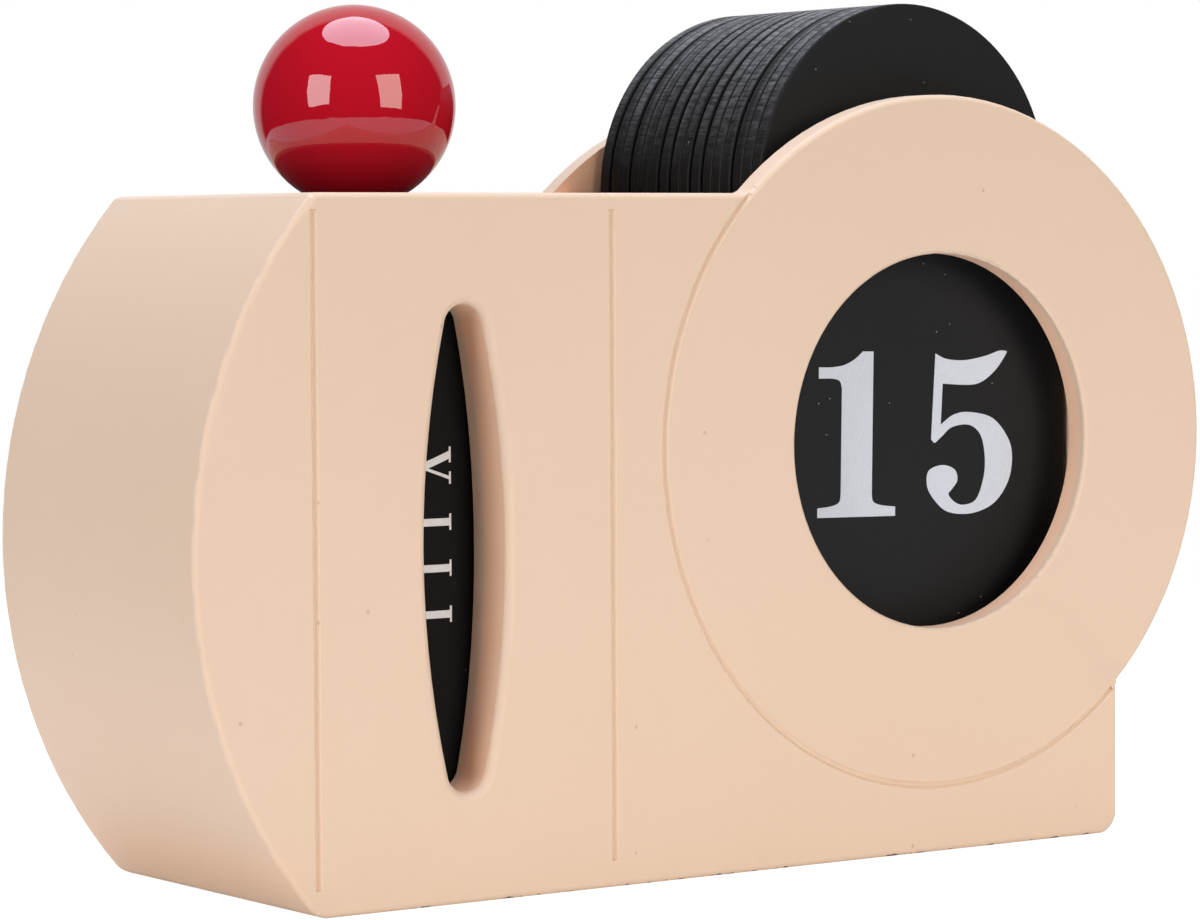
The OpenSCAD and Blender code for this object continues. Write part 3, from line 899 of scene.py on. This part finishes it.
three = [
    through((1.3, 20.2), (1.9, 23.2), (4.6, 25.7), (8.6, 26.6), (13.2, 25.4), (15.9, 22.4), (16.0, 18.6),
            (14.0, 15.6), (10.9, 14.1))
    + through((10.9, 14.1), (14.6, 12.8), (17.2, 9.6), (17.3, 6.0), (15.2, 2.4), (11.6, 0.3), (7.4, -0.2),
              (3.2, 0.9), (0.7, 3.6), (0.3, 6.4), (1.4, 8.6), (3.6, 9.2), (5.6, 8.1), (6.2, 5.9), (5.2, 3.9),
              (4.2, 2.9), (5.2, 1.6), (7.2, 1.1), (9.8, 2.2), (11.4, 5.2), (11.5, 8.8), (10.2, 12.0),
              (7.6, 13.3))
    + corners((5.4, 13.3), (5.4, 14.6))
    + through((7.4, 14.6), (9.6, 15.8), (10.7, 18.8), (10.6, 22.2), (9.2, 24.7), (7.2, 25.4), (5.2, 24.7),
              (4.4, 23.5), (5.7, 22.6), (6.3, 20.8), (5.4, 18.7), (3.4, 17.9), (1.9, 18.5), (1.3, 20.2))
]
four = [
    corners((12.4, 26.4), (14.7, 26.4), (14.7, 8.2), (18.2, 8.2), (18.2, 6.4), (14.7, 6.4))
    + through((14.7, 3.4), (15.0, 2.3), (16.2, 1.7), (17.8, 1.5))
    + corners((17.8, 0), (6.2, 0))
    + through((6.2, 1.5), (7.8, 1.7), (9.0, 2.3), (9.2, 3.4))
    + corners((9.2, 6.4), (0, 6.4), (0, 8.0)),
    corners((9.2, 8.2), (1.9, 8.2), (9.2, 19.2)),
]
print("holes in nought and four:", len(nought) - 1, len(four) - 1)

# %% [markdown]
# ## Digits from five to nine
# The rest are drawn the same way. Nine needs no points of its own, because it is a six turned round.

# %% Digits from five to nine
DIGIT_WIDTH = 17.9
DIGIT_HEIGHT = 26.4

five = [
    through((1.44, 26.0), (3.7, 25.1), (7.5, 24.9), (11.7, 25.6), (14.4, 26.4), (15.75, 26.4), (16.0, 26.0),
            (13.9, 23.4), (11.2, 21.5), (8.5, 20.9), (3.2, 21.1))
    + through((3.0, 21.1), (2.7, 14.5))
    + through((2.7, 14.5), (5.3, 16.1), (8.5, 16.5), (13.3, 15.5), (16.6, 12.2), (17.5, 9.0), (16.8, 5.3),
              (14.4, 2.1), (11.2, 0.5), (7.5, 0.0), (3.7, 0.7), (0.8, 3.3), (0.0, 5.3), (0.5, 7.2),
              (3.2, 8.0), (5.7, 7.2), (6.25, 5.5), (5.3, 4.2), (4.5, 3.2), (5.9, 1.9), (7.7, 1.5),
              (10.1, 2.3), (11.5, 5.3), (11.9, 8.6), (11.2, 12.2), (9.6, 14.0), (7.5, 14.5), (4.8, 14.0),
              (3.2, 12.8), (2.4, 12.2), (1.5, 11.6), (0.8, 12.2))
]
six = [
    through((16.2, 21.4), (15.6, 24.2), (13.4, 26.0), (10.4, 26.6), (6.0, 24.9), (2.4, 20.6), (0.5, 14.6),
            (0.3, 9.4), (1.9, 4.2), (5.2, 0.8), (9.4, -0.2), (13.6, 0.9), (16.7, 4.2), (17.6, 8.4),
            (16.6, 12.6), (13.9, 15.4), (10.6, 16.2), (7.9, 15.2), (6.0, 13.0))
    + through((6.0, 13.0), (6.2, 17.4), (7.2, 21.6), (8.8, 24.4), (10.8, 25.2), (12.0, 24.5), (12.0, 23.6),
              (11.1, 22.0), (11.7, 20.0), (13.6, 19.2), (15.4, 19.8), (16.2, 21.4)),
    oval(9.3, 8.0, 3.2, 6.7),
]
seven = [
    corners((0.7, 26.4), (17.6, 26.4))
    + through((17.6, 24.8), (14.4, 19.4), (12.2, 13.4), (11.4, 6.8), (11.4, 1.8), (10.2, 0.1), (8.0, -0.2),
              (6.0, 0.8), (5.4, 3.2), (6.0, 7.6), (8.4, 12.8), (12.0, 18.0), (14.8, 21.6))
    + through((14.8, 21.6), (10.6, 21.2), (6.2, 21.4), (3.4, 20.8), (2.2, 18.4))
    + corners((0.7, 18.4))
]
eight = [
    through((5.2, 14.1), (2.8, 16.9), (1.6, 21.0), (3.8, 25.1), (9.0, 26.6), (14.2, 25.1), (16.4, 21.0),
            (15.2, 16.9), (12.8, 14.1))
    + through((12.8, 14.1), (16.4, 11.2), (17.8, 7.2), (15.9, 2.4), (9.0, -0.2), (2.1, 2.4), (0.2, 7.2),
              (1.6, 11.2), (5.2, 14.1)),
    oval(9.2, 20.4, 3.3, 5.1),
    oval(8.8, 6.9, 3.6, 5.9),
]
far_corner = Vector((DIGIT_WIDTH, DIGIT_HEIGHT))
nine = [[far_corner - point for point in outline] for outline in six]
digits = [nought, one, two, three, four, five, six, seven, eight, nine]
print("points in each digit:", [sum(len(outline) for outline in outlines) for outlines in digits])

# %% [markdown]
# ## Sheets of ink
# Print is a thin film on the card. It could be a pattern in the card's material, but a sheet of ink keeps a
# sharp edge at any distance and can be exported as a mesh. A flat filled curve turns outlines into such a
# sheet: its inner outlines become holes, and a small extrusion gives it a thickness. Every digit is made
# once.

# %% Ink sheets
INK = 0.05 * MM


def ink_sheet(name, outlines):
    """A thin mesh from closed outlines, with the lower left at the origin, facing +Z."""
    curve = bpy.data.curves.new(name, "CURVE")
    curve.dimensions = "2D"
    curve.fill_mode = "BOTH"
    curve.extrude = INK / 2
    for outline in outlines:
        edge = curve.splines.new("POLY")
        edge.points.add(len(outline) - 1)
        for point, spot in zip(edge.points, outline):
            point.co = (spot.x * MM, spot.y * MM, 0, 1)
        edge.use_cyclic_u = True
    flat = bpy.data.objects.new(name, curve)
    scene.collection.objects.link(flat)
    select_only(flat)
    bpy.ops.object.convert(target="MESH")
    sheet = bpy.context.object
    bpy.ops.object.mode_set(mode="EDIT")
    bpy.ops.mesh.select_all(action="SELECT")
    bpy.ops.mesh.remove_doubles(threshold=MERGE)
    bpy.ops.mesh.normals_make_consistent(inside=False)
    bpy.ops.object.mode_set(mode="OBJECT")
    return sheet


digit_sheets = [ink_sheet(f"digit_{i}", outlines) for i, outlines in enumerate(digits)]
print("faces in each sheet:", [len(sheet.data.polygons) for sheet in digit_sheets])

# %% [markdown]
# ## Printing the days
# Each card carries an odd day in front and the next day behind, and only the card of the last day is bare
# behind. The row starts with the fifteenth. A number is set from copies of its digits on equal cells, as
# printed figures are, and all copies on a card are joined to one piece that moves with it. The ink is a
# silver grey that covers a little unevenly, and stands out by less than the thickness of a sheet of paper.

# %% Silver ink
SILVER = (0.60, 0.62, 0.65)
SILVER_FULL = (0.74, 0.77, 0.82)
SILVER_THIN = (0.60, 0.63, 0.68)
COVER_DEPTH = 0.01 * MM

silver_ink, tree, shader, position = new_finish("silver_ink", SILVER, roughness=0.5)
silver_cover = use_group(tree, mottle, position, Scale=2400.0, Detail=2.0)
feed(tree, shader.inputs["Base Color"], tint(tree, silver_cover, SILVER_FULL, SILVER_THIN))
bump(tree, shader, silver_cover, COVER_DEPTH)
print("finish:", silver_ink.name)

# %% Number helpers
CELL = 22.75 * MM
DAYS_SCALE = 0.976
DAYS_BASE = 51.8 * MM
DAYS_SHIFT = 1.3 * MM
DAYS_TURN = math.radians(-1.1)


def join(name, pieces):
    """Joins the pieces into one object with the given name."""
    select_only(pieces[0])
    for piece in pieces:
        piece.select_set(True)
    bpy.ops.object.join()
    bpy.context.object.name = name
    return bpy.context.object


def set_number(number, face_y, behind):
    """Copies of a number's digits, set on the front or the back face of a card."""
    stand = Matrix.Rotation(math.pi if behind else 0, 4, "Z") @ Matrix.Rotation(math.pi / 2, 4, "X")
    middle = Vector((0, DIGIT_HEIGHT / 2 * MM, 0))
    tilt = Matrix.Translation(middle) @ Matrix.Rotation(DAYS_TURN, 4, "Z") @ Matrix.Translation(-middle)
    squeeze = Matrix.Diagonal((1, DAYS_SCALE, 1, 1))
    text = str(number)
    figures = []
    for i, digit in enumerate(text):
        sheet = digit_sheets[int(digit)]
        width = max(vertex.co.x for vertex in sheet.data.vertices)
        left = (i - len(text) / 2) * CELL + (CELL - width) / 2 + DAYS_SHIFT
        figure = bpy.data.objects.new("figure", sheet.data.copy())
        scene.collection.objects.link(figure)
        figure.data.transform(tilt @ Matrix.Translation((left, 0, 0)) @ squeeze)
        figure.data.transform(Matrix.Translation((ring_x, face_y, DAYS_BASE)) @ stand)
        figures.append(figure)
    return figures


print("number helpers: join, set_number")

# %% Day numbers
INK_PROUD = 0.03 * MM
FIRST_DAY = 15
LAST_DAY = 31

for i, node in enumerate(cards):
    near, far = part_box(node)
    day = (FIRST_DAY + 2 * i) % (LAST_DAY + 1)
    figures = set_number(day, near.y - INK_PROUD + INK / 2, behind=False)
    if day < LAST_DAY:
        figures += set_number(day + 1, far.y + INK_PROUD - INK / 2, behind=True)
    dress(join("print_" + node, figures), card_body(node), "card_black", silver_ink)
for sheet in digit_sheets:
    bpy.data.objects.remove(sheet)
print("days printed on", len(cards), "cards")

# %% [markdown]
# ## The month letters
# Twelve Roman numerals stand for the months. They need only three letters, drawn with thick and thin strokes
# and small feet. A flat sheet can follow a round surface only where it has edges to bend at, so each letter
# is cut into strips along its height before it goes on the sleeve.

# %% Month letters
LETTER_HEIGHT = 5.6
LETTER_STRIPS = 7

letter_outlines = {
    "I": corners((0, 0), (2.4, 0), (2.4, 0.35), (1.75, 0.35), (1.75, 5.25), (2.4, 5.25), (2.4, 5.6),
                 (0, 5.6), (0, 5.25), (0.65, 5.25), (0.65, 0.35), (0, 0.35)),
    "V": corners((0, 5.6), (0, 5.25), (0.6, 5.25), (2.5, 0), (2.95, 0), (4.75, 5.25), (5.4, 5.25),
                 (5.4, 5.6), (3.6, 5.6), (3.6, 5.25), (4.25, 5.25), (3.05, 1.6), (1.75, 5.25), (2.3, 5.25),
                 (2.3, 5.6)),
    "X": corners((0, 5.6), (0, 5.25), (0.55, 5.25), (2.34, 2.51), (0.8, 0.35), (0.1, 0.35), (0.1, 0),
                 (1.9, 0), (1.9, 0.35), (1.25, 0.35), (2.56, 2.18), (3.75, 0.35), (3.2, 0.35), (3.2, 0),
                 (5.5, 0), (5.5, 0.35), (4.95, 0.35), (3.18, 3.06), (4.75, 5.25), (5.4, 5.25), (5.4, 5.6),
                 (3.7, 5.6), (3.7, 5.25), (4.3, 5.25), (2.97, 3.39), (1.75, 5.25), (2.3, 5.25), (2.3, 5.6)),
}


def cut_strips(sheet):
    """Cuts a letter into strips along its height."""
    select_only(sheet)
    bpy.ops.object.mode_set(mode="EDIT")
    for k in range(1, LETTER_STRIPS):
        bpy.ops.mesh.select_all(action="SELECT")
        cut_height = k * LETTER_HEIGHT / LETTER_STRIPS * MM
        bpy.ops.mesh.bisect(plane_co=(0, cut_height, 0), plane_no=(0, 1, 0))
    bpy.ops.object.mode_set(mode="OBJECT")
    return sheet


letters = {}
widths = {}
for key, outline in letter_outlines.items():
    letters[key] = cut_strips(ink_sheet("letter_" + key, [outline]))
    widths[key] = max(point.x for point in outline) * MM
print("letter widths in mm:", {key: round(width / MM, 2) for key, width in widths.items()})

# %% [markdown]
# ## Printing the months
# The numerals stand round the sleeve at equal angles, with their heads to the right, so that they read
# downwards in the slot. A Simple Deform modifier could curl a word, but it has to be lined up by eye. Here
# every point is wrapped on the cylinder by a formula: its height on the letter becomes an angle, its place
# along the word a height on the sleeve, and its thickness a larger radius.

# %% White ink
INK_WHITE = (0.74, 0.73, 0.71)
INK_WHITE_FULL = (0.80, 0.79, 0.77)
INK_WHITE_THIN = (0.62, 0.61, 0.59)

white_ink, tree, shader, position = new_finish("white_ink", INK_WHITE, roughness=0.55)
white_cover = use_group(tree, mottle, position, Scale=2400.0, Detail=2.0)
feed(tree, shader.inputs["Base Color"], tint(tree, white_cover, INK_WHITE_FULL, INK_WHITE_THIN))
bump(tree, shader, white_cover, COVER_DEPTH)
print("finish:", white_ink.name)

# %% Month numerals
LETTER_GAP = 4.3 * MM
MONTHS_MIDDLE = 52.6 * MM
MONTH_SHOWN = 8
MONTH_NUMERALS = ["I", "II", "III", "IV", "V", "VI", "VII", "VIII", "IX", "X", "XI", "XII"]
MONTH_ANGLE = math.radians(360 / len(MONTH_NUMERALS))


def wrap(point, start, angle):
    """Where a flat letter's point lies on the sleeve: x along the word, y up the letter, z its thickness."""
    turn = angle + (point.y - LETTER_HEIGHT / 2 * MM) / sleeve_r
    from_roller = sleeve_r + INK_PROUD - INK / 2 + point.z
    return Vector((
        roller_x + from_roller * math.sin(turn),
        roller_y - from_roller * math.cos(turn),
        MONTHS_MIDDLE - start - point.x,
    ))


month_letters = []
for month, numeral in enumerate(MONTH_NUMERALS, start=1):
    start = -(sum(widths[key] for key in numeral) + LETTER_GAP * (len(numeral) - 1)) / 2
    for key in numeral:
        letter = bpy.data.objects.new("letter", letters[key].data.copy())
        scene.collection.objects.link(letter)
        for vertex in letter.data.vertices:
            vertex.co = wrap(vertex.co, start, MONTH_ANGLE * (month - MONTH_SHOWN))
        month_letters.append(letter)
        start += widths[key] + LETTER_GAP
dress(join("print_months", month_letters), "month_drum", "black_sleeve", white_ink)
for sheet in letters.values():
    bpy.data.objects.remove(sheet)
print("months printed:", len(MONTH_NUMERALS))
